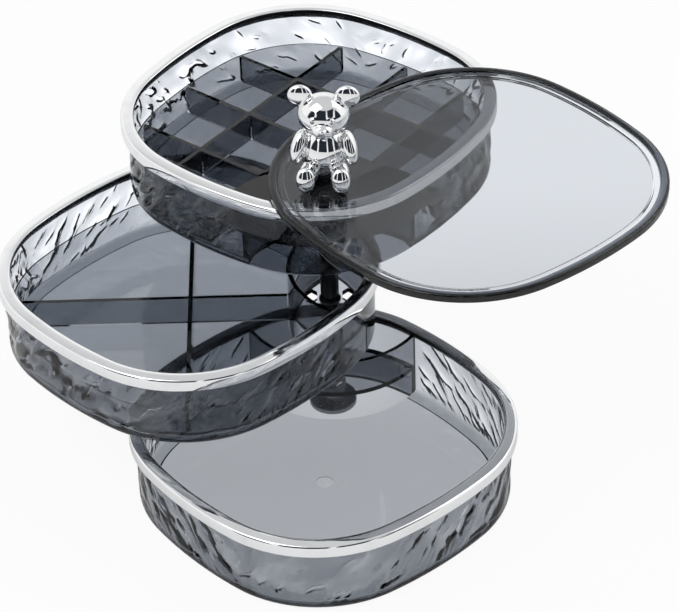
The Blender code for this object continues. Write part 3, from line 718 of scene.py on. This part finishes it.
def chrome_plate(name, wave):
    """Mirror plating: faint waves in the skin, a few dull specks where it has been touched, and a painted
    shade on the rim's inner lip.
    """
    material = bpy.data.materials.new(name)
    material.use_nodes = True
    tree = material.node_tree
    tree.nodes.clear()
    place = Link(tree.nodes.new("ShaderNodeTexCoord").outputs["Object"])
    swell = place.node("ShaderNodeTexNoise", {}, {"Vector": place, "Scale": wave, "Detail": 1.0})
    touch = place.node("ShaderNodeTexNoise", {}, {"Vector": place, "Scale": TOUCH, "Detail": 5.0})
    dull = touch.node("ShaderNodeValToRGB", {"stops": TOUCH_MARKS}, {"Fac": touch})
    colour = dull.mix(CHROME_TONE, tuple(c * WORN_SHARE for c in CHROME_TONE))
    # Painted shade: the inner lip gets a near-black, non-metal finish.
    lip_shade_mask = dull.node("ShaderNodeAttribute", {"attribute_name": "painted_lip_shade"}, {}, 2)
    colour = lip_shade_mask.mix(colour, LIP_PAINTED_SHADE)
    bump = swell.node("ShaderNodeBump", {}, {"Height": swell, "Strength": 0.08, "Distance": 0.0008})
    polished, touched, shaded_lip_roughness = CHROME_ROUGHNESS
    body = swell.node(
        "ShaderNodeBsdfPrincipled",
        {},
        {
            "Base Color": colour,
            "Metallic": 1.0 - lip_shade_mask,
            "Roughness": polished + touched * dull + shaded_lip_roughness * lip_shade_mask,
            "Normal": bump,
        },
    )
    out = tree.nodes.new("ShaderNodeOutputMaterial")
    tree.links.new(body.socket, out.inputs["Surface"])
    return material


chrome = chrome_plate("chrome rim", 60.0)
section = rounded(RIM_SECTION)
# Painted shade mask: 1 on the rim's inner lip, else 0.
on_lip = (section[:, 0] > INNER_LIP[0]) & (section[:, 1] < INNER_LIP[1])
painted_lip_shade = np.repeat(on_lip, len(PLAN_LENGTH)).astype(float)
for level, place, body in LEVELS:
    rim = grid_object(level + "_rim_chrome", loft_points(section[:, 0], section[:, 1]), ring=True)
    rim.data.attributes.new("painted_lip_shade", "FLOAT", "POINT").data.foreach_set("value", painted_lip_shade)
    dress(seat(rim, *place), chrome, "chrome", body, level + "_rim")


# Lid: one clear plate with a band and a round bead at its edge, which throws the dark and bright
# lines that frame it; the lines are partly painted too. It is bored for the knob's screw, and drawn
# as four rings that touch, so that each takes its own depth of smoke: the edge and the bead are
# smoked darker as painted shade, and the band lighter as painted light.
LID_EDGE = -0.0018
LID_SECTION = [(0.0043, 0.0005, 0.0), (0.0038, 0.0, 0.0), (LID_EDGE, 0.0, 0.0004), (LID_EDGE, 0.0024, 0.0)]
LID_BEAD = (0.0032, 0.0009)
BEAD_ROWS = 17
LID_LINES = (-0.0008, 0.0018, 0.0044)
LID_SPLIT = 0.00003
SPLIT_TOP = 0.005
LID_PLATE_TOP = 0.0021
LID_BAND = (0.0038, 0.0005, 0.0003)
SCREW_BORE = 0.0019
SCREW_CUT_TOP = 0.004
LID_CREASE = 22.0
LID_GLOSS = 0.27


def lid_section():
    """Under side and edge of the plate, then the bead as half an ellipse, the band and the plate."""
    low = rounded(LID_SECTION)[:-1]
    width, rise = LID_BEAD
    inner, slope, lift = LID_BAND
    band_top = LID_PLATE_TOP + lift
    turn = np.linspace(0.0, math.pi, BEAD_ROWS)
    bead = np.stack([LID_EDGE + width / 2.0 * (1.0 - np.cos(turn)), band_top + rise * np.sin(turn)], 1)
    step = [(inner, band_top), (inner + slope, LID_PLATE_TOP)]
    return np.concatenate([low, bead, step])


def lid_part(name, outside, inside):
    """The lid's section carried round the plan, kept between two inset lines."""
    section = lid_section()
    part = grid_object(name, loft_points(section[:, 0], section[:, 1]))
    steps = []
    for operation, line in (("INTERSECT", outside), ("DIFFERENCE", inside)):
        if line is not None:
            steps.append((operation, plan_block("core", line, -OVER, SPLIT_TOP)))
    if inside is None:
        steps.append(("DIFFERENCE", plug("bore", SCREW_BORE, -OVER, SCREW_CUT_TOP, BORE_STEPS)))
    return solid_work(part, steps, LID_CREASE)


edge_line, bead_line, band_line = LID_LINES
# Painted shade and light: the edge and bead rings take more smoke than the plate, the band less.
edge_painted_shade = clear_plastic("lid edge painted shade", (3000.0, 2900.0, 2800.0), SHELL_TINT)
bead_painted_shade = clear_plastic("lid bead painted shade", (700.0, 660.0, 600.0), SHELL_TINT)
band_painted_light = clear_plastic("lid band painted light", (230.0, 218.0, 202.0), SHELL_TINT)
clear = clear_plastic("clear lid", (440.0, 417.0, 388.0), SHELL_TINT, gloss=LID_GLOSS)
for name, finish, outside, inside, nodes in (
    ("lid_edge", edge_painted_shade, None, edge_line, ()),
    ("lid_bead", bead_painted_shade, edge_line + LID_SPLIT, bead_line, ()),
    ("lid_band", band_painted_light, bead_line + LID_SPLIT, band_line, ()),
    ("lid_plate", clear, band_line + LID_SPLIT, None, ("lid_panel",)),
):
    part = seat(lid_part(name, outside, inside), *LID)
    dress(part, finish, "clear_plastic", "lid_level", *nodes)


# Post: a steel shaft on a round foot, with dark sleeves between the trays, nylon washers under the
# turning decks and a collar under the lid. All are turned parts.
SLEEVE_RADIUS = 0.0035
SLEEVE_EASE = 0.0004
COLLAR_RADIUS = 0.0060
COLLAR_EASE = (0.0006, 0.0004)
COLLAR_ROOM = (0.0046, 0.0070)
TURN_STEPS = 72
TURNING_LINES = 14.0
TONE_DRIFT = 0.8
GLOSS_DRIFT = 0.15


def turned(name, profile):
    """Rounded profile of (radius, height, corner radius) carried round the post's axis."""
    return grid_object(name, round_points(rounded(profile), TURN_STEPS), ring=True)


def solid_finish(name, colour, roughness, metallic, scale, axis_lines=False):
    """Opaque finish: the tone and the gloss drift with noise, or with fine turning lines on steel."""
    material = bpy.data.materials.new(name)
    material.use_nodes = True
    tree = material.node_tree
    tree.nodes.clear()
    place = Link(tree.nodes.new("ShaderNodeTexCoord").outputs["Object"])
    stretch = (1.0, 1.0, TURNING_LINES if axis_lines else 1.0)
    place = place.node("ShaderNodeMapping", {}, {"Vector": place, "Scale": stretch})
    grain = place.node("ShaderNodeTexNoise", {}, {"Vector": place, "Scale": scale, "Detail": 5.0})
    tone = grain.mix(tuple(c * TONE_DRIFT for c in colour), colour)
    bump = grain.node("ShaderNodeBump", {}, {"Height": grain, "Strength": 0.12, "Distance": 0.0003})
    body = grain.node(
        "ShaderNodeBsdfPrincipled",
        {},
        {
            "Base Color": tone,
            "Metallic": metallic,
            "Roughness": roughness + GLOSS_DRIFT * grain,
            "Normal": bump,
        },
    )
    out = tree.nodes.new("ShaderNodeOutputMaterial")
    tree.links.new(body.socket, out.inputs["Surface"])
    return material


sleeve = solid_finish("dark sleeve", (0.030, 0.032, 0.034), 0.12, 0.0, 300.0)
steel = solid_finish("turned steel", (0.56, 0.57, 0.58), 0.18, 1.0, 260.0, True)
nylon = solid_finish("nylon washer", (0.74, 0.75, 0.73), 0.40, 0.0, 700.0)

for name, node in (("lower_sleeve", "lower_column"), ("upper_sleeve", "upper_column")):
    low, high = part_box(node)
    sleeve_profile = [
        (BORE, low.z, 0.0), (SLEEVE_RADIUS, low.z, SLEEVE_EASE),
        (SLEEVE_RADIUS, high.z, SLEEVE_EASE), (BORE, high.z, 0.0),
    ]
    dress(turned(name, sleeve_profile), sleeve, "dark_plastic", "base", node)
low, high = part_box("lid_collar")
room_radius, room_depth = COLLAR_ROOM
collar_profile = [
    (BORE, low.z, 0.0), (COLLAR_RADIUS, low.z, COLLAR_EASE[0]),
    (COLLAR_RADIUS, high.z, COLLAR_EASE[1]), (room_radius, high.z, 0.0),
    (room_radius, high.z - room_depth, 0.0), (BORE, high.z - room_depth, 0.0),
]
dress(turned("collar", collar_profile), sleeve, "dark_plastic", "lid_level", "lid_collar")
for node, finish in (
    ("pivot_post", steel), ("shaft_nut", steel), ("knob_screw", steel),
    ("lower_washer", nylon), ("upper_washer", nylon), ("lid_washer", nylon),
):
    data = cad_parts[node].data
    data.materials.clear()
    data.materials.append(finish)


# Knob: a small seated teddy bear, chrome-plated. Its lobes are ellipsoids that are fused and eased
# into each other, and a screw from under the lid holds it.
BEAR_HEIGHT = 0.0405
# Each lobe: its middle and its three radii as shares of the height, then its tip and lean in degrees.
LOBES = [
    (0.0, 0.02, 0.240, 0.220, 0.190, 0.270, 0.0, 0.0),
    (0.0, 0.0, 0.660, 0.238, 0.205, 0.208, 0.0, 0.0),
    (0.0, -0.180, 0.610, 0.098, 0.092, 0.074, 0.0, 0.0),
    (0.0, -0.262, 0.638, 0.036, 0.022, 0.025, 0.0, 0.0),
]
PAIRED_LOBES = [
    (0.216, 0.030, 0.840, 0.116, 0.056, 0.116, 0.0, 20.0),
    (0.232, -0.062, 0.350, 0.074, 0.084, 0.165, -26.0, -14.0),
    (0.142, -0.140, 0.095, 0.095, 0.175, 0.102, 0.0, 0.0),
    (0.160, -0.268, 0.120, 0.092, 0.060, 0.124, -12.0, 0.0),
    (0.086, -0.184, 0.712, 0.022, 0.018, 0.025, 0.0, 0.0),
]
LOBE_POLE = 0.02
LOBE_GRID = (40, 64)
BEAR_VOXEL = 0.00034
GROUND = (0.04, 0.03, 24)
SCREW_ROOM = (0.0018, 0.0083, 32)


def lobe_points(x, y, z, rx, ry, rz, tip, lean):
    """Ellipsoid: a sphere's rings scaled by its radii, tipped about X, leaned about Y and moved."""
    rows, steps = LOBE_GRID
    polar = np.linspace(LOBE_POLE, math.pi - LOBE_POLE, rows)[::-1, None]
    around = np.arange(steps)[None, :] * math.tau / steps
    ring = np.sin(polar)
    ball = np.stack([ring * np.cos(around), ring * np.sin(around), np.cos(polar) + 0.0 * around], -1)
    turn = Matrix.Rotation(math.radians(tip), 3, "X") @ Matrix.Rotation(math.radians(lean), 3, "Y")
    return ((ball * (rx, ry, rz)) @ np.array(turn).T + (x, y, z)) * BEAR_HEIGHT


lobes = [grid_object("lobe", lobe_points(*lobe)) for lobe in LOBES]
for x, y, z, rx, ry, rz, tip, lean in PAIRED_LOBES:
    for side in (-1.0, 1.0):
        lobes.append(grid_object("lobe", lobe_points(side * x, y, z, rx, ry, rz, tip, side * lean)))
bear = lobes[0]
bear.name = "bear_knob"
bear = solid_work(bear, [("UNION", other) for other in lobes[1:]])
even = {"mode": "VOXEL", "voxel_size": BEAR_VOXEL}
ease = {"factor": 0.5, "iterations": 9}
add_modifiers(bear, [("REMESH", even), ("SMOOTH", ease)])
bear = solid_work(bear, [])
bear.data.name = "bear_knob"
ground = plug("ground", GROUND[0], -GROUND[1], 0.0, GROUND[2])
screw_room = plug("screw room", SCREW_ROOM[0], -OVER, SCREW_ROOM[1], SCREW_ROOM[2])
bear = solid_work(bear, [("DIFFERENCE", ground), ("DIFFERENCE", screw_room)])
bear = seat(bear, LID[0], LID[1] + LID_PLATE_TOP + FIT_GAP)
dress(bear, chrome_plate("chrome bear", 90.0), "chrome", "lid_level", "knob_figure")
